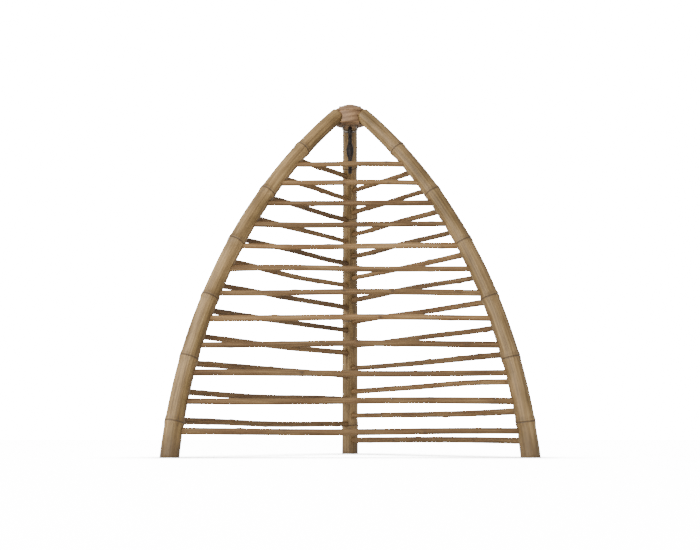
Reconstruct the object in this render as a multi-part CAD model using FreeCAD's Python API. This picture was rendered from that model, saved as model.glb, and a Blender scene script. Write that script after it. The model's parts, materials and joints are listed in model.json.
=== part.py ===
import FreeCAD
import Part
import math
import os

# A low garden obelisk: three bent cane ribs stand on a triangle and meet in a turned hub.
# Straight willow rungs are let into blind mortises in the ribs, three rungs to a course.
# An iron hook swings on a staple under the hub. Millimetres, +Z up. The origin is on the ground in the
# middle of the footprint's box, and everything is drawn about the apex's own axis and then moved there.

# Driving dimensions of the ribs
rib_count = 3
foot_radius = 300.0
foot_lean_deg = 6.0
rib_foot_dia = 30.0
rib_top_dia = 25.0
rib_knuckle_swell = 1.1
rib_knuckle_length = 9.0
rib_knuckle_spacing = 96.0
first_knuckle = 52.0

# Driving dimensions of the hub and of the tenons that hold the ribs in it
hub_top_height = 560.0
hub_dia = 50.0
hub_height = 34.0
hub_dome_rise = 8.0
hub_shoulder = 3.0
facet_radius = 23.0
facet_below_top = 20.0
facet_rim = 1.0
tenon_dia = 14.0
tenon_length = 13.0
tenon_clearance = 0.1
pin_dia = 5.0
pin_proud = 0.6
pin_from_facet = 7.0
pin_clearance = 0.05

# Driving dimensions of the rungs
course_count = 12
first_course_height = 24.0
last_course_below_facet = 100.0
top_pitch_share = 0.75
rung_butt_dia = 10.4
rung_tip_dia = 9.2
top_rung_slimming = 1.2
rung_end_from_rib_axis = 3.0
mortise_clearance = 0.1
mortise_floor_gap = 0.3

# Driving dimensions of the staple and the hook
staple_wire_dia = 4.0
staple_inner_width = 18.0
staple_drop = 12.0
staple_bury = 11.0
staple_bend_radius = 5.0
staple_clearance = 0.05
hook_wire_dia = 6.5
hook_eye_bore = 8.0
hook_eye_gap = 0.3
hook_shank_length = 26.0
hook_shank_dia = 12.0
hook_neck_length = 9.0
hook_bowl_radius = 11.0
hook_tip_rise = 9.0

Z_AXIS = FreeCAD.Vector(0, 0, 1)
# On three feet the middle of the footprint's box lies a quarter of the foot radius behind the apex.
axis_y = -foot_radius / 4
side_names = ["right", "front", "left"]
rib_names = ["back", "front_right", "front_left"]
rib_angles = [90.0, 330.0, 210.0]

os.makedirs("parts", exist_ok=True)


def save(shape, name):
    """Move one node from the apex's axis to the footprint's middle, check it and write it."""
    shape.translate(FreeCAD.Vector(0, axis_y, 0))
    if not shape.isValid():
        print("not valid:", name)
    print(name, "solids", len(shape.Solids), "volume", round(shape.Volume, 1))
    shape.exportStep("parts/" + name + ".step")


# The rib's centre line is one arc in a plane through the axis.
# Its ends are the foot and the hub's facet, and its lean at the foot is given.
foot_lean = math.radians(foot_lean_deg)
facet_height = hub_top_height - facet_below_top
rise = facet_height
reach = foot_radius - facet_radius
chord_lean = math.atan2(reach, rise)
top_lean = 2 * chord_lean - foot_lean
arc_radius = math.hypot(rise, reach) / (2 * math.sin((top_lean - foot_lean) / 2))
arc_centre_r = foot_radius - arc_radius * math.cos(foot_lean)
arc_centre_z = -arc_radius * math.sin(foot_lean)
arc_length = arc_radius * (top_lean - foot_lean)


def rib_point(lean):
    """Radius from the obelisk's axis and height of the rib's centre line where it leans this far."""
    return (arc_centre_r + arc_radius * math.cos(lean), arc_centre_z + arc_radius * math.sin(lean))


def rib_lean_at_height(height):
    return math.asin((height - arc_centre_z) / arc_radius)


def rib_radius_at_height(height):
    return rib_point(rib_lean_at_height(height))[0]


def rib_half_thickness(lean):
    share = (lean - foot_lean) / (top_lean - foot_lean)
    return (rib_foot_dia + (rib_top_dia - rib_foot_dia) * share) / 2


def plan_point(radius, angle_deg, height):
    angle = math.radians(angle_deg)
    return FreeCAD.Vector(radius * math.cos(angle), radius * math.sin(angle), height)


# The pitches shrink evenly from the lowest to the top one, and together they fill the height for the rungs.
gap_count = course_count - 1
courses_rise = facet_height - last_course_below_facet - first_course_height
lowest_pitch = courses_rise / (gap_count * (1 + top_pitch_share) / 2)
pitch_step = lowest_pitch * (1 - top_pitch_share) / (gap_count - 1)


def course_height(course, side):
    """Height of one rung: the three sides of a course climb by thirds of the pitch."""
    base = first_course_height + course * lowest_pitch - course * (course - 1) / 2 * pitch_step
    pitch = lowest_pitch - course * pitch_step
    return base + side * pitch / rib_count


def rung_ends(course, side):
    """The two points on the ribs' centre lines that a rung points at."""
    height = course_height(course, side)
    radius = rib_radius_at_height(height)
    start = plan_point(radius, rib_angles[side], height)
    end = plan_point(radius, rib_angles[(side + 1) % rib_count], height)
    return start, end


def rung_dias(course, side):
    """Butt and tip diameters, thinner towards the top; the butt end alternates."""
    slimming = top_rung_slimming * course / gap_count
    butt = rung_butt_dia - slimming
    tip = rung_tip_dia - slimming
    if (course + side) % 2:
        return tip, butt
    return butt, tip


def mortise(point, towards, dia):
    """The blind hole for one rung end, drilled from outside the rib to just past the rung's end."""
    direction = (towards - point).normalize()
    start = rung_end_from_rib_axis - mortise_floor_gap
    base = point + direction * start
    return Part.makeCylinder(dia / 2 + mortise_clearance, rib_foot_dia, base, direction)


def circle_at(lean, radius):
    """A circle square to the rib's centre line, in the plane of angle zero."""
    r, z = rib_point(lean)
    tangent = FreeCAD.Vector(-math.sin(lean), 0, math.cos(lean))
    return Part.Wire(Part.makeCircle(radius, FreeCAD.Vector(r, 0, z), tangent))


def make_rib():
    """One bent cane with swollen knuckles, its foot cut level and its top turned to a tenon."""
    below_foot = foot_lean - rib_foot_dia / arc_radius
    stations = [below_foot]
    radii = [rib_half_thickness(below_foot)]
    along = first_knuckle
    while along < arc_length - rib_knuckle_length:
        for offset, swell in ((-1, 0), (0, 1), (1, 0)):
            lean = foot_lean + (along + offset * rib_knuckle_length) / arc_radius
            stations.append(lean)
            radii.append(rib_half_thickness(lean) + swell * rib_knuckle_swell)
        along += rib_knuckle_spacing
    stations.append(top_lean)
    radii.append(rib_half_thickness(top_lean))
    pieces = []
    for low, high, low_r, high_r in zip(stations, stations[1:], radii, radii[1:]):
        middle = rib_point((low + high) / 2)
        first = rib_point(low)
        last = rib_point(high)
        path = Part.Wire(Part.Arc(
            FreeCAD.Vector(first[0], 0, first[1]),
            FreeCAD.Vector(middle[0], 0, middle[1]),
            FreeCAD.Vector(last[0], 0, last[1])).toShape())
        pieces.append(path.makePipeShell([circle_at(low, low_r), circle_at(high, high_r)], True, True))
    rib = pieces[0].fuse(pieces[1:])
    ground = Part.makeBox(
        4 * rib_foot_dia, 4 * rib_foot_dia, rib_foot_dia * 2,
        FreeCAD.Vector(foot_radius - 2 * rib_foot_dia, -2 * rib_foot_dia, -2 * rib_foot_dia))
    rib = rib.cut(ground)
    tenon = facet_cylinder(tenon_dia / 2, tenon_length)
    return rib.fuse(tenon)


def facet_frame():
    """The middle of the joint face on the hub and the direction of the rib there."""
    r, z = rib_point(top_lean)
    return FreeCAD.Vector(r, 0, z), FreeCAD.Vector(-math.sin(top_lean), 0, math.cos(top_lean))


def facet_cylinder(radius, length, start=0.0):
    point, tangent = facet_frame()
    return Part.makeCylinder(radius, length, point + tangent * start, tangent)


def turned(shape, angle_deg):
    copy = shape.copy()
    copy.rotate(FreeCAD.Vector(0, 0, 0), Z_AXIS, angle_deg)
    return copy


def pin_cylinder(extra_radius, extra_length):
    """The draw pin goes straight down through the hub's shoulder into the rib's tenon."""
    point, tangent = facet_frame()
    middle = point + tangent * pin_from_facet
    foot = middle.z - tenon_dia / 4
    top = dome_height(middle.x) + pin_proud + extra_length
    return Part.makeCylinder(pin_dia / 2 + extra_radius, top - foot, FreeCAD.Vector(middle.x, 0, foot), Z_AXIS)


dome_edge = hub_dia / 2 - hub_shoulder
dome_radius = (dome_edge ** 2 + hub_dome_rise ** 2) / (2 * hub_dome_rise)


def dome_height(radius):
    """Height of the hub's domed top this far from the axis."""
    centre = hub_top_height - dome_radius
    return centre + math.sqrt(dome_radius ** 2 - radius ** 2)


def make_hub():
    """A turned hub: domed top with a shoulder, three joint faces, their mortises and the staple's holes."""
    low = hub_top_height - hub_height
    shoulder_z = hub_top_height - hub_dome_rise
    outer = hub_dia / 2
    waist = outer - hub_shoulder
    points = [
        FreeCAD.Vector(0, 0, low),
        FreeCAD.Vector(waist, 0, low),
        FreeCAD.Vector(outer, 0, low + hub_shoulder),
        FreeCAD.Vector(outer, 0, shoulder_z - hub_shoulder),
        FreeCAD.Vector(dome_edge, 0, shoulder_z),
        FreeCAD.Vector(0, 0, hub_top_height),
    ]
    edges = [Part.LineSegment(a, b).toShape() for a, b in zip(points[:4], points[1:5])]
    crown = FreeCAD.Vector(dome_edge / 2, 0, dome_height(dome_edge / 2))
    edges.append(Part.Arc(points[4], crown, points[5]).toShape())
    edges.append(Part.LineSegment(points[5], points[0]).toShape())
    hub = Part.Face(Part.Wire(edges)).revolve(FreeCAD.Vector(0, 0, 0), Z_AXIS, 360)
    seat = facet_cylinder(rib_top_dia / 2 + facet_rim, hub_dia, -hub_dia)
    hole = facet_cylinder(tenon_dia / 2 + tenon_clearance, tenon_length + mortise_floor_gap)
    pin_hole = pin_cylinder(pin_clearance, hub_dome_rise)
    for angle in rib_angles:
        for tool in (seat, hole, pin_hole):
            hub = hub.cut(turned(tool, angle))
    for sign in (-1, 1):
        x = sign * (staple_inner_width + staple_wire_dia) / 2
        hub = hub.cut(Part.makeCylinder(
            staple_wire_dia / 2 + staple_clearance, staple_bury + mortise_floor_gap,
            FreeCAD.Vector(x, 0, low), Z_AXIS))
    return hub


def swept_wire(points, bend, radius):
    """A round bar along straight runs in the XZ or YZ plane, with an arc of one radius at each corner."""
    path = []
    last = points[0]
    for before, corner, after in zip(points, points[1:], points[2:]):
        into = (corner - before).normalize()
        out = (after - corner).normalize()
        half_turn = into.getAngle(out) / 2
        setback = bend * math.tan(half_turn)
        start = corner - into * setback
        end = corner + out * setback
        towards = (out - into).normalize()
        middle = corner + towards * (bend / math.cos(half_turn) - bend)
        path.append(Part.LineSegment(last, start).toShape())
        path.append(Part.Arc(start, middle, end).toShape())
        last = end
    path.append(Part.LineSegment(last, points[-1]).toShape())
    wire = Part.Wire(path)
    section = Part.Wire(Part.makeCircle(radius, points[0], (points[1] - points[0]).normalize()))
    return wire.makePipeShell([section], True, True)


def staple_bar_height():
    return hub_top_height - hub_height - staple_drop + staple_wire_dia / 2


def make_staple():
    """A bent wire staple driven up into the hub, with a straight bar for the hook."""
    half = (staple_inner_width + staple_wire_dia) / 2
    top = hub_top_height - hub_height + staple_bury
    bar = staple_bar_height()
    points = [
        FreeCAD.Vector(-half, 0, top),
        FreeCAD.Vector(-half, 0, bar),
        FreeCAD.Vector(half, 0, bar),
        FreeCAD.Vector(half, 0, top),
    ]
    return swept_wire(points, staple_bend_radius, staple_wire_dia / 2)


def make_hook():
    """A forged hook: an eye over the staple's bar, a swollen shank and an open bowl."""
    bar = staple_bar_height()
    eye_centre_z = bar + staple_wire_dia / 2 + hook_eye_gap - hook_eye_bore / 2
    eye_ring = (hook_eye_bore + hook_wire_dia) / 2
    eye = Part.makeTorus(eye_ring, hook_wire_dia / 2, FreeCAD.Vector(0, 0, eye_centre_z), FreeCAD.Vector(1, 0, 0))
    neck_top = eye_centre_z - eye_ring
    shank_top = neck_top - hook_neck_length
    shank_low = shank_top - hook_shank_length
    wire_r = hook_wire_dia / 2
    belly_r = hook_shank_dia / 2
    side = [
        FreeCAD.Vector(0, 0, neck_top),
        FreeCAD.Vector(wire_r, 0, neck_top),
        FreeCAD.Vector(wire_r, 0, shank_top),
        FreeCAD.Vector(wire_r, 0, shank_low),
        FreeCAD.Vector(0, 0, shank_low),
    ]
    edges = [
        Part.LineSegment(side[0], side[1]).toShape(),
        Part.LineSegment(side[1], side[2]).toShape(),
        Part.Arc(side[2], FreeCAD.Vector(belly_r, 0, (shank_top + shank_low) / 2), side[3]).toShape(),
        Part.LineSegment(side[3], side[4]).toShape(),
        Part.LineSegment(side[4], side[0]).toShape(),
    ]
    shank = Part.Face(Part.Wire(edges)).revolve(FreeCAD.Vector(0, 0, 0), Z_AXIS, 360)
    bowl_path = Part.Wire([
        Part.LineSegment(
            FreeCAD.Vector(0, 0, shank_low), FreeCAD.Vector(0, 0, shank_low - hook_neck_length)).toShape(),
        Part.Arc(
            FreeCAD.Vector(0, 0, shank_low - hook_neck_length),
            FreeCAD.Vector(0, hook_bowl_radius, shank_low - hook_neck_length - hook_bowl_radius),
            FreeCAD.Vector(0, 2 * hook_bowl_radius, shank_low - hook_neck_length)).toShape(),
        Part.LineSegment(
            FreeCAD.Vector(0, 2 * hook_bowl_radius, shank_low - hook_neck_length),
            FreeCAD.Vector(0, 2 * hook_bowl_radius, shank_low - hook_neck_length + hook_tip_rise)).toShape(),
    ])
    section = Part.Wire(Part.makeCircle(wire_r, FreeCAD.Vector(0, 0, shank_low), FreeCAD.Vector(0, 0, -1)))
    bowl = bowl_path.makePipeShell([section], True, True)
    tip = Part.makeSphere(
        wire_r, FreeCAD.Vector(0, 2 * hook_bowl_radius, shank_low - hook_neck_length + hook_tip_rise))
    return eye.fuse([shank, bowl, tip])


def make_rung(course, side):
    """A straight tapered rod that ends just short of both ribs' centre lines."""
    start, end = rung_ends(course, side)
    direction = (end - start).normalize()
    first_dia, last_dia = rung_dias(course, side)
    base = start + direction * rung_end_from_rib_axis
    length = (end - start).Length - 2 * rung_end_from_rib_axis
    return Part.makeCone(first_dia / 2, last_dia / 2, length, base, direction)


plain_rib = make_rib()
for rib in range(rib_count):
    shape = turned(plain_rib, rib_angles[rib])
    cutters = []
    for course in range(course_count):
        start, end = rung_ends(course, rib)
        cutters.append(mortise(start, end, rung_dias(course, rib)[0]))
        side_before = (rib - 1) % rib_count
        start, end = rung_ends(course, side_before)
        cutters.append(mortise(end, start, rung_dias(course, side_before)[1]))
    cutters.append(turned(pin_cylinder(pin_clearance, 0.0), rib_angles[rib]))
    shape = shape.cut(cutters)
    save(shape, "rib_" + rib_names[rib])

for side in range(rib_count):
    for course in range(course_count):
        save(make_rung(course, side), "rung_%s_%02d" % (side_names[side], course + 1))

save(make_hub(), "hub")
save(Part.makeCompound([turned(pin_cylinder(0.0, 0.0), angle) for angle in rib_angles]), "tenon_pins")
save(make_staple(), "hook_staple")
save(make_hook(), "hook")
print("arc radius", round(arc_radius, 1), "top lean", round(math.degrees(top_lean), 1))
print("top course", round(course_height(course_count - 1, 2), 1))
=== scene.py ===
import json
import math
import random

import bmesh
import bpy
from mathutils import Matrix, Vector, noise


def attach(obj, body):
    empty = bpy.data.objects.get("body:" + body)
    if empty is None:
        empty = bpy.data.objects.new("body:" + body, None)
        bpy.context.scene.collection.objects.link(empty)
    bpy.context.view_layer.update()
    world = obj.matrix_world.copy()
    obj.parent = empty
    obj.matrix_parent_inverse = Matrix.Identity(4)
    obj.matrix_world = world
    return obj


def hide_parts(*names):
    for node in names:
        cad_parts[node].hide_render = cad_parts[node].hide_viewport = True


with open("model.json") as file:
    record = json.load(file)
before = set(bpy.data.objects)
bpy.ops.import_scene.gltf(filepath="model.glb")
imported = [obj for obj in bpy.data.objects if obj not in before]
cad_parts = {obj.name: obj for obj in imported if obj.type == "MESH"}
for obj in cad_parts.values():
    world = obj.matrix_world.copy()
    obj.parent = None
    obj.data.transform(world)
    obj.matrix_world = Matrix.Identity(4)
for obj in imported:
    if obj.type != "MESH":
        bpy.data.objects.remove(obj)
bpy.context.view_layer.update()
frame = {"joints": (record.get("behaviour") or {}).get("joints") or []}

scene = bpy.context.scene

# where the ribs, rungs and hub stand in the frame, in metres
stance = {
    "footRadius": 0.300,
    "footLean": math.radians(6.0),
    "facetRadius": 0.023,
    "facetHeight": 0.540,
    "courses": 12,
    "firstCourse": 0.024,
    "coursesRise": 0.416,
    "topPitchShare": 0.75,
    "hubTop": 0.560,
    "hubLow": 0.526,
}
ribTurns = {"rib_back": 90.0, "rib_front_right": 330.0, "rib_front_left": 210.0}
turnList = list(ribTurns.values())
sideNames = ["right", "front", "left"]
swingJoint = frame["joints"][0]
axisY = swingJoint["pos_m"][1]  # the obelisk's own axis stands in front of the origin
barHeight = swingJoint["pos_m"][2]

# one arc carries every rib from its foot to the hub
chordLean = math.atan2(stance["footRadius"] - stance["facetRadius"], stance["facetHeight"])
topLean = 2 * chordLean - stance["footLean"]
arcRadius = math.hypot(stance["footRadius"] - stance["facetRadius"], stance["facetHeight"])
arcRadius /= 2 * math.sin((topLean - stance["footLean"]) / 2)
arcOut = stance["footRadius"] - arcRadius * math.cos(stance["footLean"])
arcUp = -arcRadius * math.sin(stance["footLean"])
arcLength = arcRadius * (topLean - stance["footLean"])

# the pitches shrink evenly up the ribs
lowestPitch = stance["coursesRise"] / ((stance["courses"] - 1) * (1 + stance["topPitchShare"]) / 2)
pitchStep = lowestPitch * (1 - stance["topPitchShare"]) / (stance["courses"] - 2)


def planPoint(radius, turn, height):
    turn = math.radians(turn)
    return Vector((radius * math.cos(turn), radius * math.sin(turn) + axisY, height))


def ribRadiusAt(height):
    return arcOut + arcRadius * math.cos(math.asin((height - arcUp) / arcRadius))


def ribPoint(along, turn):
    lean = stance["footLean"] + along / arcRadius
    return planPoint(arcOut + arcRadius * math.cos(lean), turn, arcUp + arcRadius * math.sin(lean))


def courseHeight(course, side):
    pitch = lowestPitch - course * pitchStep
    climbed = course * lowestPitch - course * (course - 1) / 2 * pitchStep
    return stance["firstCourse"] + climbed + side * pitch / 3


def rungLine(course, side):
    height = courseHeight(course, side)
    radius = ribRadiusAt(height)
    return planPoint(radius, turnList[side], height), planPoint(radius, turnList[(side + 1) % 3], height)


def bump(distance, width):
    # one smooth hill that is 1 in the middle and 0 past its width
    share = min(1.0, abs(distance) / width)
    return (1 + math.cos(math.pi * share)) / 2


def ringFrames(centres):
    # one steady pair of cross directions for each ring along a line of centres
    pairs = []
    across = None
    for i, centre in enumerate(centres):
        ahead = centres[min(i + 1, len(centres) - 1)] - centres[max(i - 1, 0)]
        ahead.normalize()
        if across is None:
            across = ahead.orthogonal().normalized()
        across = (across - ahead * across.dot(ahead)).normalized()
        pairs.append((ahead, across, ahead.cross(across)))
    return pairs


def makeRod(name, centres, sides, radiusAt, seed, shade=None, roundEnd=0.0):
    # a rod with its own grain coordinates, and the cut ends in a second material slot
    lengths = [0.0]
    for a, b in zip(centres, centres[1:]):
        lengths.append(lengths[-1] + (b - a).length)
    verts, grain, marks, faces = [], [], [], []
    for i, (centre, (ahead, across, over)) in enumerate(zip(centres, ringFrames(centres))):
        for j in range(sides):
            angle = 2 * math.pi * j / sides
            out = across * math.cos(angle) + over * math.sin(angle)
            radius = radiusAt(lengths[i], angle, lengths[-1])
            verts.append(centre + out * radius)
            grain.append((math.cos(angle) * radius + seed, math.sin(angle) * radius, lengths[i] + seed * 3))
            marks.append(shade(lengths[i], angle, lengths[-1]) if shade else 0.0)
    for i in range(len(centres) - 1):
        for j in range(sides):
            k = (j + 1) % sides
            faces.append((i * sides + j, i * sides + k, (i + 1) * sides + k, (i + 1) * sides + j))
    body = len(faces)
    faces.append(tuple(reversed(range(sides))))
    faces.append(tuple(range((len(centres) - 1) * sides, len(centres) * sides)))
    mesh = bpy.data.meshes.new(name)
    mesh.from_pydata(verts, [], faces)
    grainData = mesh.attributes.new("grain", "FLOAT_VECTOR", "POINT").data
    grainData.foreach_set("vector", [part for spot in grain for part in spot])
    markData = mesh.attributes.new("mark", "FLOAT", "POINT").data
    markData.foreach_set("value", marks)
    for polygon in mesh.polygons:
        polygon.use_smooth = polygon.index < body
        polygon.material_index = 0 if polygon.index < body else 1
    rod = bpy.data.objects.new(name, mesh)
    scene.collection.objects.link(rod)
    return rod


def finishPiece(piece, materials, node, body):
    for material in materials:
        piece.data.materials.append(material)
    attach(piece, body)
    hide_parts(node)
    return piece


# materials
def addNode(tree, kind, inputs=None, **settings):
    node = tree.nodes.new(kind)
    for key, value in settings.items():
        setattr(node, key, value)
    for key, value in (inputs or {}).items():
        if isinstance(value, bpy.types.NodeSocket):
            tree.links.new(value, node.inputs[key])
        else:
            node.inputs[key].default_value = value
    return node


def rampNode(tree, factor, stops):
    ramp = addNode(tree, "ShaderNodeValToRGB", {"Fac": factor})
    elements = ramp.color_ramp.elements
    while len(elements) < len(stops):
        elements.new(0.5)
    for element, (place, colour) in zip(elements, stops):
        element.position = place
        element.color = (*colour, 1.0)
    return ramp.outputs["Color"]


def mixColours(tree, factor, first, second, blend="MIX"):
    mix = addNode(tree, "ShaderNodeMix", data_type="RGBA", blend_type=blend)
    for index, value in ((0, factor), (6, first), (7, second)):
        if isinstance(value, bpy.types.NodeSocket):
            tree.links.new(value, mix.inputs[index])
        elif index == 0:
            mix.inputs[index].default_value = value
        else:
            mix.inputs[index].default_value = (*value, 1.0)
    return mix.outputs[2]


def noiseNode(tree, where, scale, detail=4.0, roughness=0.55):
    stretched = addNode(tree, "ShaderNodeMapping", {"Vector": where, "Scale": scale}).outputs["Vector"]
    speckle = addNode(tree, "ShaderNodeTexNoise", {
        "Vector": stretched, "Scale": 1.0, "Detail": detail, "Roughness": roughness})
    return speckle.outputs["Fac"]


def startMaterial(name):
    material = bpy.data.materials.new(name)
    material.use_nodes = True
    tree = material.node_tree
    return material, tree, tree.nodes["Principled BSDF"]


def barkMaterial(name, look):
    # streaks run along the rod, patches and scars lie over them
    material, tree, shader = startMaterial(name)
    grain = addNode(tree, "ShaderNodeAttribute", attribute_name="grain").outputs["Vector"]
    mark = addNode(tree, "ShaderNodeAttribute", attribute_name="mark").outputs["Fac"]
    streaks = noiseNode(tree, grain, look["streakScale"], 6.0, 0.62)
    patches = noiseNode(tree, grain, look["patchScale"], 3.0, 0.5)
    fine = noiseNode(tree, grain, look["fineScale"], 5.0, 0.7)
    colour = rampNode(tree, streaks, look["streakColours"])
    patch = rampNode(tree, patches, [(0.38, (0, 0, 0)), (0.66, (1, 1, 1))])
    colour = mixColours(tree, patch, colour, mixColours(tree, 0.75, colour, look["patchColour"], "MULTIPLY"))
    fleck = rampNode(tree, fine, [(0.60, (0, 0, 0)), (0.74, (1, 1, 1))])
    fleckShare = addNode(tree, "ShaderNodeMath", {0: fleck, 1: look["fleckShare"]}, operation="MULTIPLY")
    colour = mixColours(tree, fleckShare.outputs[0], colour, look["fleckColour"])
    # the mark attribute darkens the bark towards this colour: leaf scars and buds, soil stain at the foot,
    # and painted shade in the rib's mortise mouths
    colour = mixColours(tree, mark, colour, look["markColour"])
    # no two canes dry to the same tone
    chance = addNode(tree, "ShaderNodeObjectInfo").outputs["Random"]
    tone = addNode(tree, "ShaderNodeMapRange", {
        "Value": chance, "To Min": look["darkest"], "To Max": look["palest"]})
    toned = addNode(tree, "ShaderNodeHueSaturation", {"Value": tone.outputs["Result"], "Color": colour})
    tree.links.new(toned.outputs["Color"], shader.inputs["Base Color"])
    gloss = addNode(tree, "ShaderNodeMapRange", {
        "Value": streaks, "To Min": look["roughness"] - 0.12, "To Max": look["roughness"] + 0.14})
    tree.links.new(gloss.outputs["Result"], shader.inputs["Roughness"])
    shader.inputs["Specular IOR Level"].default_value = look["shine"]
    height = addNode(tree, "ShaderNodeMath", {0: streaks, 1: fine}, operation="ADD").outputs[0]
    relief = addNode(tree, "ShaderNodeBump", {
        "Height": height, "Strength": look["bumpStrength"], "Distance": look["bumpDepth"]})
    tree.links.new(relief.outputs["Normal"], shader.inputs["Normal"])
    return material


def endGrainMaterial(name, light, dark):
    # open pith and rings on a cut end
    material, tree, shader = startMaterial(name)
    grain = addNode(tree, "ShaderNodeAttribute", attribute_name="grain").outputs["Vector"]
    rings = addNode(tree, "ShaderNodeTexWave", {
        "Vector": grain, "Scale": 190.0, "Distortion": 2.2, "Detail": 3.0},
        wave_type="RINGS", rings_direction="Z")
    pores = noiseNode(tree, grain, (900.0, 900.0, 60.0), 2.0, 0.6)
    colour = rampNode(tree, rings.outputs["Fac"], [(0.1, dark), (0.9, light)])
    openPores = rampNode(tree, pores, [(0.35, (1, 1, 1)), (0.5, (0, 0, 0))])
    colour = mixColours(tree, openPores, colour, dark)
    tree.links.new(colour, shader.inputs["Base Color"])
    shader.inputs["Roughness"].default_value = 0.85
    relief = addNode(tree, "ShaderNodeBump", {"Height": pores, "Strength": 0.5, "Distance": 0.0006})
    tree.links.new(relief.outputs["Normal"], shader.inputs["Normal"])
    return material


caneLook = {
    "streakScale": (420.0, 420.0, 9.0),
    "patchScale": (42.0, 42.0, 17.0),
    "fineScale": (900.0, 900.0, 120.0),
    "streakColours": [
        (0.28, (0.120, 0.070, 0.025)),
        (0.50, (0.280, 0.172, 0.066)),
        (0.74, (0.440, 0.295, 0.128)),
    ],
    "patchColour": (0.36, 0.33, 0.19),
    "fleckColour": (0.045, 0.028, 0.014),
    "fleckShare": 0.45,
    "markColour": (0.052, 0.030, 0.014),
    "roughness": 0.52,
    "shine": 0.45,
    "bumpStrength": 0.55,
    "bumpDepth": 0.0006,
    "darkest": 0.92,
    "palest": 1.08,
}
willowLook = {
    "streakScale": (520.0, 520.0, 16.0),
    "patchScale": (30.0, 30.0, 12.0),
    "fineScale": (1100.0, 1100.0, 260.0),
    "streakColours": [
        (0.30, (0.115, 0.064, 0.023)),
        (0.52, (0.235, 0.138, 0.054)),
        (0.76, (0.380, 0.250, 0.112)),
    ],
    "patchColour": (0.55, 0.45, 0.38),
    "fleckColour": (0.040, 0.027, 0.018),
    "fleckShare": 0.3,
    "markColour": (0.050, 0.032, 0.020),
    "roughness": 0.66,
    "shine": 0.35,
    "bumpStrength": 0.6,
    "bumpDepth": 0.0005,
    "darkest": 0.72,
    "palest": 1.22,
}
caneBark = barkMaterial("caneBark", caneLook)
willowBark = barkMaterial("willowBark", willowLook)
caneEnd = endGrainMaterial("caneEndGrain", (0.34, 0.24, 0.13), (0.12, 0.075, 0.036))
willowEnd = endGrainMaterial("willowEndGrain", (0.42, 0.32, 0.20), (0.16, 0.105, 0.060))


def turnedWoodMaterial(name, look):
    # growth rings of a block turned across its grain
    material, tree, shader = startMaterial(name)
    where = addNode(tree, "ShaderNodeTexCoord").outputs["Object"]
    laid = addNode(tree, "ShaderNodeMapping", {
        "Vector": where, "Location": look["pith"], "Rotation": look["tilt"]}).outputs["Vector"]
    rings = addNode(tree, "ShaderNodeTexWave", {
        "Vector": laid, "Scale": look["ringScale"], "Distortion": 1.2, "Detail": 2.0,
        "Detail Scale": 0.8}, wave_type="RINGS", rings_direction="X")
    fibres = noiseNode(tree, laid, (25.0, 900.0, 900.0), 3.0, 0.5)
    stains = noiseNode(tree, where, (60.0, 60.0, 60.0), 3.0, 0.6)
    colour = rampNode(tree, rings.outputs["Fac"], [(0.05, look["late"]), (0.75, look["early"])])
    pores = rampNode(tree, fibres, [(0.30, (0.6, 0.6, 0.6)), (0.50, (0, 0, 0))])
    colour = mixColours(tree, pores, colour, look["late"])
    stained = rampNode(tree, stains, [(0.45, (0, 0, 0)), (0.75, (0.7, 0.7, 0.7))])
    colour = mixColours(tree, stained, colour, look["stain"])
    tree.links.new(colour, shader.inputs["Base Color"])
    shader.inputs["Roughness"].default_value = look["roughness"]
    relief = addNode(tree, "ShaderNodeBump", {"Height": fibres, "Strength": 0.25, "Distance": 0.0003})
    tree.links.new(relief.outputs["Normal"], shader.inputs["Normal"])
    return material


def ironMaterial(name, look):
    # dark scale with rust in the hollows
    material, tree, shader = startMaterial(name)
    where = addNode(tree, "ShaderNodeTexCoord").outputs["Object"]
    scale = noiseNode(tree, where, (260.0, 260.0, 260.0), 6.0, 0.65)
    dents = addNode(tree, "ShaderNodeTexVoronoi", {
        "Vector": where, "Scale": look["dentScale"]}, feature="SMOOTH_F1")
    rust = rampNode(tree, scale, [(look["rustFrom"], (0, 0, 0)), (look["rustFrom"] + 0.16, (1, 1, 1))])
    colour = mixColours(tree, rust, look["iron"], look["rust"])
    tree.links.new(colour, shader.inputs["Base Color"])
    bare = addNode(tree, "ShaderNodeMapRange", {"Value": rust, "To Min": look["metallic"], "To Max": 0.1})
    tree.links.new(bare.outputs["Result"], shader.inputs["Metallic"])
    gloss = addNode(tree, "ShaderNodeMapRange", {"Value": rust, "To Min": look["roughness"], "To Max": 0.85})
    tree.links.new(gloss.outputs["Result"], shader.inputs["Roughness"])
    height = addNode(tree, "ShaderNodeMath", {
        0: scale, 1: dents.outputs["Distance"]}, operation="ADD").outputs[0]
    relief = addNode(tree, "ShaderNodeBump", {"Height": height, "Strength": 0.55, "Distance": 0.0006})
    tree.links.new(relief.outputs["Normal"], shader.inputs["Normal"])
    return material


hubWood = turnedWoodMaterial("hubWood", {
    "pith": (0.05, 0.02, 0.0),
    "tilt": (0.05, 0.12, 0.35),
    "ringScale": 42.0,
    "early": (0.330, 0.190, 0.088),
    "late": (0.185, 0.098, 0.042),
    "stain": (0.115, 0.062, 0.028),
    "roughness": 0.6,
})
darkIron = ironMaterial("darkIron", {
    "iron": (0.014, 0.012, 0.011),
    "rust": (0.060, 0.026, 0.012),
    "rustFrom": 0.54,
    "dentScale": 240.0,
    "metallic": 0.45,
    "roughness": 0.55,
})
wornSteel = ironMaterial("wornSteel", {
    "iron": (0.200, 0.175, 0.150),
    "rust": (0.130, 0.062, 0.028),
    "rustFrom": 0.54,
    "dentScale": 500.0,
    "metallic": 0.95,
    "roughness": 0.38,
})
print("stage: materials made")


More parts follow.
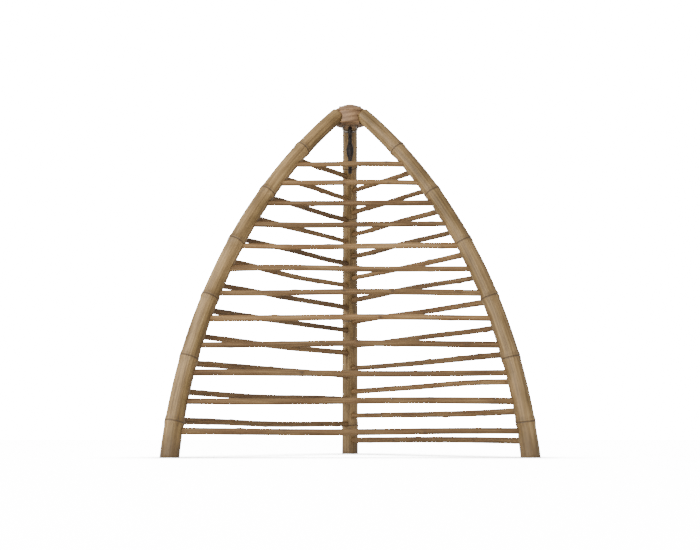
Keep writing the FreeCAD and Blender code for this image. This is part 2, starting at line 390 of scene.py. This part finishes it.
# ribs
rib = {
    "footRadius": 0.0148,
    "topRadius": 0.0124,
    "ringGap": 0.0030,
    "sides": 44,
    "startBelow": 0.0016,
    "firstKnuckle": 0.052,
    "knuckleGap": 0.096,
    "knuckleWidth": 0.009,
    "knuckleRise": 0.0011,
    "scarWidth": 0.0016,
    "scarDepth": 0.0007,
    "scarReach": 0.0036,
    "scarRings": 9,
    "scarSlant": 0.0012,
    "scarTone": 0.85,
    "edgeTone": 0.25,
    "edgeWidth": 0.004,
    "wobble": 0.0005,
    "ridges": 0.00022,
    "mouthReach": 1.75,
    "mouthDepth": 0.0016,
    # how dark the painted shade in each mortise mouth is, at its deepest
    "mouthShadeTone": 0.75,
    "stainHeight": 0.040,
    "stainTone": 0.75,
}


def knuckleDistance(along):
    # signed distance to the nearest leaf scar of the cane
    count = round((along - rib["firstKnuckle"]) / rib["knuckleGap"])
    last = math.floor((arcLength - rib["knuckleWidth"] - rib["firstKnuckle"]) / rib["knuckleGap"])
    count = max(0, min(last, count))
    return along - rib["firstKnuckle"] - count * rib["knuckleGap"]


def ribRadius(along, angle, seed):
    share = max(0.0, min(1.0, along / arcLength))
    radius = rib["footRadius"] + (rib["topRadius"] - rib["footRadius"]) * share
    distance = knuckleDistance(along)
    slanted = distance + rib["scarSlant"] * math.sin(angle + seed)
    radius += rib["knuckleRise"] * bump(distance, rib["knuckleWidth"])
    radius -= rib["scarDepth"] * bump(slanted, rib["scarWidth"])
    where = Vector((math.cos(angle) * 1.3 + seed, math.sin(angle) * 1.3, along * 22))
    ridges = Vector((math.cos(angle) * 7, math.sin(angle) * 7 + seed, along * 9))
    radius -= rib["wobble"] * (0.5 + 0.5 * noise.noise(where))
    return radius - rib["ridges"] * (1 + noise.noise(ridges))


def ribShade(along, angle, seed):
    slanted = knuckleDistance(along) + rib["scarSlant"] * math.sin(angle + seed)
    scar = rib["scarTone"] * bump(slanted, rib["scarWidth"] * 1.4)
    edge = rib["edgeTone"] * bump(slanted - rib["edgeWidth"], rib["edgeWidth"])
    uneven = 0.8 + 0.5 * noise.noise(Vector((angle, along * 90, seed)))
    stain = rib["stainTone"] * max(0.0, 1 - along / rib["stainHeight"]) * uneven
    return min(1.0, max(scar, edge, stain, 0.0))


def makeRib(index, node, turn):
    steps = round(arcLength / rib["ringGap"])
    alongs = [arcLength * i / steps for i in range(1, steps + 1)]
    alongs = [along for along in alongs if abs(knuckleDistance(along)) > rib["scarReach"]]
    knuckle = rib["firstKnuckle"]
    while knuckle < arcLength - rib["knuckleWidth"]:
        for i in range(-rib["scarRings"], rib["scarRings"] + 1):
            alongs.append(knuckle + rib["scarReach"] * i / rib["scarRings"])
        knuckle += rib["knuckleGap"]
    alongs = [-rib["startBelow"]] + sorted(alongs)
    centres = [ribPoint(along, turn) for along in alongs]
    seed = 3.7 * index
    offset = alongs[0]
    piece = makeRod(
        node.replace("rib", "caneRib"), centres, rib["sides"],
        lambda along, angle, whole: ribRadius(along + offset, angle, seed), seed,
        lambda along, angle, whole: ribShade(along + offset, angle, seed))
    mesh = piece.data
    # the foot is sawn level, so its first ring slides up along the cane to the ground
    ahead = (centres[1] - centres[0]).normalized()
    for vertex in mesh.vertices:
        if vertex.co.z < 0:
            vertex.co += ahead * (-vertex.co.z / ahead.z)
    # each mortise has a sunken mouth round its rung, and painted shade darkens the bark in that recess
    marks = mesh.attributes["mark"].data
    for course in range(stance["courses"]):
        for side, flip in ((index, False), ((index - 1) % 3, True)):
            first, last = rungLine(course, side)
            if flip:
                first, last = last, first
            along = (last - first).normalized()
            reach = rungRadiusAt(course) * rib["mouthReach"]
            for vertex in mesh.vertices:
                if abs(vertex.co.z - first.z) > reach * 1.8:
                    continue
                away = vertex.co - first
                depth = away.dot(along)
                if depth <= 0:
                    continue
                distance = (away - along * depth).length
                if distance < reach:
                    sink = bump(distance, reach)
                    vertex.co -= along * rib["mouthDepth"] * sink
                    mark = marks[vertex.index]
                    mark.value = max(mark.value, rib["mouthShadeTone"] * sink)
    return finishPiece(piece, [caneBark, caneEnd], node, "frame")


# rungs
rung = {
    "buttRadius": 0.0052,
    "tipRadius": 0.0046,
    "slimming": 0.0006,
    "startFromRib": 0.0035,
    "ringGap": 0.0045,
    "sides": 16,
    "crook": 0.0065,
    "mostCrook": 0.0022,
    "budGap": 0.085,
    "budRise": 0.0010,
    "budLength": 0.0045,
    "budSpread": 0.75,
    "budTone": 0.8,
    "leastSteps": 12,
    "budFreeEnd": 0.02,
}


def rungRadiusAt(course):
    return rung["buttRadius"] - rung["slimming"] * course / (stance["courses"] - 1)


def makeRung(course, side):
    dice = random.Random(100 * side + course)
    first, last = rungLine(course, side)
    whole = last - first
    ahead = whole.normalized()
    first = first + ahead * rung["startFromRib"]
    last = last - ahead * rung["startFromRib"]
    length = (last - first).length
    up = Vector((0, 0, 1))
    sideways = ahead.cross(up)
    most = min(rung["mostCrook"], rung["crook"] * length)
    waves = []
    for count in (1, 2, 3):
        waves.append((count, dice.uniform(-1, 1) * most / count, dice.uniform(-1, 1) * most / count))
    steps = max(rung["leastSteps"], round(length / rung["ringGap"]))
    centres = []
    for i in range(steps + 1):
        share = i / steps
        bend = Vector((0, 0, 0))
        for count, rise, sway in waves:
            swing = math.sin(math.pi * count * share)
            bend += up * rise * swing + sideways * sway * swing
        centres.append(first + (last - first) * share + bend)
    slimmed = rung["slimming"] * course / (stance["courses"] - 1)
    ends = [rung["buttRadius"] - slimmed, rung["tipRadius"] - slimmed]
    if (course + side) % 2:
        ends.reverse()
    buds = []
    place = dice.uniform(0.3, 0.9) * rung["budGap"]
    while place < length - rung["budFreeEnd"]:
        buds.append((place, dice.uniform(0, 2 * math.pi), dice.uniform(0.5, 1.0)))
        place += rung["budGap"] * dice.uniform(0.6, 1.3)
    seed = dice.uniform(0, 40)

    def radiusAt(along, angle, total):
        radius = ends[0] + (ends[1] - ends[0]) * along / total
        radius *= 0.97 + 0.045 * noise.noise(Vector((math.cos(angle) + seed, math.sin(angle), along * 30)))
        for spot, turn, size in buds:
            if abs(along - spot) < rung["budLength"] * 2:
                apart = math.atan2(math.sin(angle - turn), math.cos(angle - turn))
                lift = bump(along - spot, rung["budLength"] * 2)
                radius += rung["budRise"] * size * lift * (0.25 + bump(apart, rung["budSpread"] * 2))
        return radius

    def shadeAt(along, angle, total):
        dark = 0.0
        for spot, turn, size in buds:
            if abs(along - spot) < rung["budLength"]:
                apart = math.atan2(math.sin(angle - turn), math.cos(angle - turn))
                near = bump(along - spot, rung["budLength"]) * bump(apart, rung["budSpread"])
                dark = max(dark, rung["budTone"] * near)
        return dark

    node = "rung_%s_%02d" % (sideNames[side], course + 1)
    piece = makeRod(node.replace("rung", "willowRung"), centres, rung["sides"], radiusAt, seed, shadeAt)
    return finishPiece(piece, [willowBark, willowEnd], node, "frame")


for index, (node, turn) in enumerate(ribTurns.items()):
    makeRib(index, node, turn)
print("stage: ribs bent")
for side in range(3):
    for course in range(stance["courses"]):
        makeRung(course, side)
print("stage: rungs set")


# hub
hub = {
    "radius": 0.0250,
    "domeEdge": 0.0220,
    "domeRise": 0.0080,
    "chamfer": 0.0030,
    "grooveBelowShoulder": 0.0062,
    "grooveDepth": 0.0009,
    "grooveWidth": 0.0022,
    "crownLine": 0.0125,
    "crownLineDepth": 0.0005,
    "crownLineWidth": 0.0011,
    "cornerSteps": 8,
    "wallSteps": 39,
    "shoulderSteps": 6,
    "domeSteps": 12,
    "sides": 96,
    "seatRadius": 0.0135,
}


def latheMesh(name, profile, sides):
    mesh = bpy.data.meshes.new(name)
    build = bmesh.new()
    rings = []
    for radius, height in profile:
        if radius < 1e-6:
            rings.append([build.verts.new((0, axisY, height))])
            continue
        rings.append([build.verts.new(planPoint(radius, 360 * j / sides, height)) for j in range(sides)])
    for low, high in zip(rings, rings[1:]):
        for j in range(sides):
            k = (j + 1) % sides
            corners = [low[j % len(low)], low[k % len(low)], high[k % len(high)], high[j % len(high)]]
            build.faces.new(list(dict.fromkeys(corners)))
    bmesh.ops.recalc_face_normals(build, faces=build.faces)
    build.to_mesh(mesh)
    build.free()
    return mesh


def appliedMesh(piece):
    # the mesh that the piece's modifiers make, which are then gone
    bpy.context.view_layer.update()
    graph = bpy.context.evaluated_depsgraph_get()
    mesh = bpy.data.meshes.new_from_object(piece.evaluated_get(graph))
    piece.modifiers.clear()
    return mesh


def cutWith(piece, cutters):
    # the cuts are made for good, so the cutters don't stay in the scene
    for cutter in cutters:
        cut = piece.modifiers.new("cut", "BOOLEAN")
        cut.operation = "DIFFERENCE"
        cut.solver = "EXACT"
        cut.object = cutter
    piece.data = appliedMesh(piece)
    for cutter in cutters:
        bpy.data.objects.remove(cutter)


def cylinderBetween(name, first, last, radius, sides=48):
    ahead = (last - first).normalized()
    mesh = bpy.data.meshes.new(name)
    build = bmesh.new()
    length = (last - first).length
    bmesh.ops.create_cone(build, cap_ends=True, segments=sides, radius1=radius, radius2=radius, depth=length)
    turn = ahead.to_track_quat("Z", "Y").to_matrix().to_4x4()
    build.transform(Matrix.Translation((first + last) / 2) @ turn)
    build.to_mesh(mesh)
    build.free()
    cylinder = bpy.data.objects.new(name, mesh)
    scene.collection.objects.link(cylinder)
    return cylinder


def domeHeight(radius):
    curve = (hub["domeEdge"] ** 2 + hub["domeRise"] ** 2) / (2 * hub["domeRise"])
    return stance["hubTop"] - curve + math.sqrt(curve ** 2 - radius ** 2)


def makeHub():
    low = stance["hubLow"]
    shoulder = stance["hubTop"] - hub["domeRise"]
    inner = hub["radius"] - hub["chamfer"]
    profile = [(0.0, low), (inner - 0.006, low), (inner - 0.0006, low)]
    for i in range(hub["cornerSteps"] + 1):
        turn = math.pi / 2 * i / hub["cornerSteps"]
        profile.append((inner + hub["chamfer"] * math.sin(turn), low + hub["chamfer"] * (1 - math.cos(turn))))
    wall = shoulder - hub["chamfer"]
    for i in range(1, hub["wallSteps"] + 1):
        height = low + hub["chamfer"] + (wall - low - hub["chamfer"]) * i / hub["wallSteps"]
        fromGroove = height - shoulder + hub["grooveBelowShoulder"]
        sink = hub["grooveDepth"] * bump(fromGroove, hub["grooveWidth"] / 2)
        profile.append((hub["radius"] - sink, height))
    for i in range(1, hub["shoulderSteps"] + 1):
        turn = math.pi / 2 * i / hub["shoulderSteps"]
        radius = hub["radius"] - hub["chamfer"] * (1 - math.cos(turn))
        profile.append((radius, wall + hub["chamfer"] * 0.98 * math.sin(turn)))
    for i in range(1, hub["domeSteps"] + 1):
        radius = hub["domeEdge"] * (1 - i / hub["domeSteps"])
        sink = hub["crownLineDepth"] * bump(radius - hub["crownLine"], hub["crownLineWidth"])
        profile.append((radius, domeHeight(radius) - sink))
    piece = bpy.data.objects.new("turnedHub", latheMesh("turnedHub", profile, hub["sides"]))
    scene.collection.objects.link(piece)
    cutters = []
    for turn in turnList:
        end = ribPoint(arcLength, turn)
        ahead = (end - ribPoint(arcLength - 0.002, turn)).normalized()
        cutters.append(cylinderBetween("seatCutter", end - ahead * 0.05, end, hub["seatRadius"]))
    cutWith(piece, cutters)
    for polygon in piece.data.polygons:
        polygon.use_smooth = True
    piece.data.set_sharp_from_angle(angle=math.radians(38))
    return finishPiece(piece, [hubWood], "hub", "frame")


# draw pins
pin = {
    "radius": 0.0025,
    "fromFacet": 0.007,
    "proud": 0.0006,
    "buried": 0.010,
    "crown": [(1.0, 0.0006), (0.85, 0.0001), (0.45, 0.0)],  # share of the radius, and depth below the top
    "sides": 24,
}


def makePins():
    mesh = bpy.data.meshes.new("drawPins")
    build = bmesh.new()
    for turn in turnList:
        radius = stance["facetRadius"] - pin["fromFacet"] * math.sin(topLean)
        top = domeHeight(radius) + pin["proud"]
        rings = []
        for out, depth in [(1.0, pin["buried"])] + pin["crown"]:
            centre = planPoint(radius, turn, top - depth)
            ring = []
            for j in range(pin["sides"]):
                angle = 2 * math.pi * j / pin["sides"]
                outward = Vector((math.cos(angle), math.sin(angle), 0))
                ring.append(build.verts.new(centre + outward * pin["radius"] * out))
            rings.append(ring)
        for lower, upper in zip(rings, rings[1:]):
            for j in range(pin["sides"]):
                k = (j + 1) % pin["sides"]
                build.faces.new((lower[j], lower[k], upper[k], upper[j])).smooth = True
        build.faces.new(rings[-1])
        build.faces.new(list(reversed(rings[0])))
    build.to_mesh(mesh)
    build.free()
    piece = bpy.data.objects.new("drawPins", mesh)
    scene.collection.objects.link(piece)
    return finishPiece(piece, [pinWood], "tenon_pins", "frame")


pinWood = turnedWoodMaterial("pinWood", {
    "pith": (0.0, 0.0, 0.0),
    "tilt": (0.0, 1.4, 0.0),
    "ringScale": 300.0,
    "early": (0.360, 0.240, 0.130),
    "late": (0.190, 0.115, 0.060),
    "stain": (0.110, 0.066, 0.034),
    "roughness": 0.7,
})
makeHub()
makePins()
print("stage: hub turned and pinned")


# staple and hook
staple = {"radius": 0.0020, "inner": 0.018, "bend": 0.005, "top": 0.5268}
hook = {
    "wire": 0.00325,
    "eyeBore": 0.008,
    "eyeGap": 0.0003,
    "shankLength": 0.026,
    "shankRadius": 0.0060,
    "neck": 0.009,
    "bowl": 0.011,
    "tipRise": 0.009,
    "hammer": 0.0003,
    "eyeRings": 48,
    "eyeSides": 20,
    "weldVoxel": 0.0006,
    "weldSmoothing": 4,
}


def arcPoints(centre, first, last, radius, steps, plane):
    points = []
    for i in range(steps + 1):
        angle = math.radians(first + (last - first) * i / steps)
        points.append(centre + (plane[0] * math.cos(angle) + plane[1] * math.sin(angle)) * radius)
    return points


def straightPoints(first, last, steps):
    return [first + (last - first) * i / steps for i in range(steps)]


def makeStaple():
    half = staple["inner"] / 2 + staple["radius"]
    bend = staple["bend"]
    side, up = Vector((1, 0, 0)), Vector((0, 0, 1))
    axis = Vector((0, axisY, 0))
    leftTop = axis - side * half + up * staple["top"]
    leftBend = axis - side * half + up * (barHeight + bend)
    rightBend = axis + side * half + up * (barHeight + bend)
    rightTop = axis + side * half + up * staple["top"]
    centres = straightPoints(leftTop, leftBend, 6)
    centres += arcPoints(leftBend + side * bend, 180, 270, bend, 10, (side, up))
    centres += straightPoints(centres[-1], rightBend - side * bend - up * bend, 8)[1:]
    centres += arcPoints(rightBend - side * bend, 270, 360, bend, 10, (side, up))
    centres += straightPoints(centres[-1], rightTop, 6)[1:] + [rightTop]
    piece = makeRod("stapleWire", centres, 20, lambda along, angle, total: staple["radius"] * 0.995, 1.0)
    return finishPiece(piece, [wornSteel, wornSteel], "hook_staple", "frame")


def makeHook():
    forward, up = Vector((0, 1, 0)), Vector((0, 0, 1))
    axis = Vector((0, axisY, 0))
    eyeRing = hook["eyeBore"] / 2 + hook["wire"]
    eyeHeight = barHeight + staple["radius"] + hook["eyeGap"] - hook["eyeBore"] / 2
    eyeCentre = axis + up * eyeHeight
    neckTop = eyeHeight - eyeRing
    shankTop = neckTop - hook["neck"]
    shankLow = shankTop - hook["shankLength"]
    bowlHeight = shankLow - hook["neck"]
    bowlCentre = axis + forward * hook["bowl"] + up * bowlHeight
    centres = straightPoints(axis + up * neckTop, axis + up * bowlHeight, 60)
    centres += arcPoints(bowlCentre, 180, 360, hook["bowl"], 40, (forward, up))
    tipStart = centres[-1]
    tip = tipStart + up * (hook["tipRise"] + hook["wire"])
    centres += straightPoints(tipStart, tip, 16)[1:] + [tip]

    def radiusAt(along, angle, total):
        radius = hook["wire"]
        into = along - hook["neck"]
        if 0 < into < hook["shankLength"]:
            radius += (hook["shankRadius"] - hook["wire"]) * math.sin(math.pi * into / hook["shankLength"])
        left = total - along
        if left < hook["wire"]:
            radius *= math.sqrt(max(0.02, 1 - ((hook["wire"] - left) / hook["wire"]) ** 2))
        dents = noise.noise(Vector((math.cos(angle) * 1.5, math.sin(angle) * 1.5, along * 260)))
        return radius - hook["hammer"] * (0.5 + 0.5 * dents)

    piece = makeRod("ironHook", centres, 28, radiusAt, 2.0)
    eye = bmesh.new()
    eye.from_mesh(piece.data)  # the eye joins the shank's mesh, and the remesh welds them
    rings = []
    for i in range(hook["eyeRings"]):
        turn = 2 * math.pi * i / hook["eyeRings"]
        out = forward * math.cos(turn) + up * math.sin(turn)
        ring = []
        for j in range(hook["eyeSides"]):
            angle = 2 * math.pi * j / hook["eyeSides"]
            dents = noise.noise(Vector((math.cos(turn) * 3, math.sin(turn) * 3, j * 0.4)))
            radius = hook["wire"] - hook["hammer"] * (0.3 + 0.3 * dents)
            across = Vector((1, 0, 0)) * radius * math.sin(angle)
            ring.append(eye.verts.new(eyeCentre + out * (eyeRing + radius * math.cos(angle)) + across))
        rings.append(ring)
    for i in range(hook["eyeRings"]):
        for j in range(hook["eyeSides"]):
            k = (j + 1) % hook["eyeSides"]
            n = (i + 1) % hook["eyeRings"]
            eye.faces.new((rings[i][j], rings[i][k], rings[n][k], rings[n][j])).smooth = True
    bmesh.ops.recalc_face_normals(eye, faces=eye.faces)
    eye.to_mesh(piece.data)
    eye.free()
    weld = piece.modifiers.new("weld", "REMESH")
    weld.mode = "VOXEL"
    weld.voxel_size = hook["weldVoxel"]
    smooth = piece.modifiers.new("smooth", "SMOOTH")
    smooth.factor = 0.5
    smooth.iterations = hook["weldSmoothing"]
    piece.data = appliedMesh(piece)
    for polygon in piece.data.polygons:
        polygon.use_smooth = True
        polygon.material_index = 0
    return finishPiece(piece, [darkIron], "hook", "hook")


makeStaple()
makeHook()
print("stage: staple and hook forged")


# floor, light and camera
studio = {
    "floorHalf": 12.0,
    "floorColour": (0.90, 0.90, 0.89),
    "floorGlow": 14.0,
    "contactReach": 0.14,
    "contactDepth": 6.0,
    "skyColour": (1.0, 1.0, 1.0),
    "skyStrength": 0.8,
    "seenSkyStrength": 24.0,
    "keyPower": 42.0,
    "fillPower": 36.0,
    "backPower": 8.0,
}
shot = {
    "side": 0.0,
    "height": 0.03,
    "distance": 2.0,
    "aimHeight": 0.284,
    "lens": 65.5,
}


def makeFloor():
    mesh = bpy.data.meshes.new("studioFloor")
    half = studio["floorHalf"]
    corners = [(-half, -half, 0), (half, -half, 0), (half, half, 0), (-half, half, 0)]
    mesh.from_pydata(corners, [], [(0, 1, 2, 3)])
    floor = bpy.data.objects.new("studioFloor", mesh)
    scene.collection.objects.link(floor)
    material, tree, shader = startMaterial("paleFloor")
    shader.inputs["Base Color"].default_value = (*studio["floorColour"], 1.0)
    shader.inputs["Roughness"].default_value = 0.9
    shader.inputs["Specular IOR Level"].default_value = 0.1
    # only the camera sees the glow, which fades beside the feet and leaves their soft shadow
    seen = addNode(tree, "ShaderNodeLightPath").outputs["Is Camera Ray"]
    clear = addNode(tree, "ShaderNodeAmbientOcclusion", {"Distance": studio["contactReach"]}, samples=8)
    faded = addNode(tree, "ShaderNodeMath", {
        0: clear.outputs["AO"], 1: studio["contactDepth"]}, operation="POWER")
    shown = addNode(tree, "ShaderNodeMath", {0: faded.outputs[0], 1: seen}, operation="MULTIPLY")
    glow = addNode(tree, "ShaderNodeMath", {
        0: shown.outputs[0], 1: studio["floorGlow"]}, operation="MULTIPLY")
    shader.inputs["Emission Color"].default_value = (1.0, 1.0, 1.0, 1.0)
    tree.links.new(glow.outputs[0], shader.inputs["Emission Strength"])
    mesh.materials.append(material)


def makeLight(name, place, aim, power, size):
    light = bpy.data.lights.new(name, "AREA")
    light.energy = power
    light.size = size
    lamp = bpy.data.objects.new(name, light)
    lamp.location = place
    lamp.rotation_mode = "QUATERNION"
    lamp.rotation_quaternion = (Vector(aim) - Vector(place)).to_track_quat("-Z", "Y")
    scene.collection.objects.link(lamp)


def makeSky():
    world = bpy.data.worlds.new("paleSky")
    world.use_nodes = True
    tree = world.node_tree
    sky = tree.nodes["Background"]
    sky.inputs["Color"].default_value = (*studio["skyColour"], 1.0)
    seen = addNode(tree, "ShaderNodeLightPath").outputs["Is Camera Ray"]
    strength = addNode(tree, "ShaderNodeMapRange", {
        "Value": seen, "To Min": studio["skyStrength"], "To Max": studio["seenSkyStrength"]})
    tree.links.new(strength.outputs["Result"], sky.inputs["Strength"])
    scene.world = world


def makeCamera():
    data = bpy.data.cameras.new("camera")
    data.lens = shot["lens"]
    data.sensor_width = 36.0
    camera = bpy.data.objects.new("camera", data)
    turn = math.radians(shot["side"])
    target = Vector((0, axisY, shot["aimHeight"]))
    camera.location = target + Vector((math.sin(turn), -math.cos(turn), 0)) * shot["distance"]
    camera.location.z = shot["height"]
    camera.rotation_mode = "QUATERNION"
    camera.rotation_quaternion = (target - camera.location).to_track_quat("-Z", "Y")
    data.clip_start = 0.01
    data.clip_end = 60.0
    scene.collection.objects.link(camera)
    scene.camera = camera


makeFloor()
makeSky()
makeLight("keyLight", (-1.9, -1.3, 1.5), (0, 0, 0.25), studio["keyPower"], 1.2)
makeLight("fillLight", (-0.7, -2.3, 0.3), (0, 0, 0.3), studio["fillPower"], 1.2)
makeLight("backLight", (0.4, 2.0, 1.6), (0, 0, 0.3), studio["backPower"], 1.2)
makeCamera()
print("stage: studio lit")
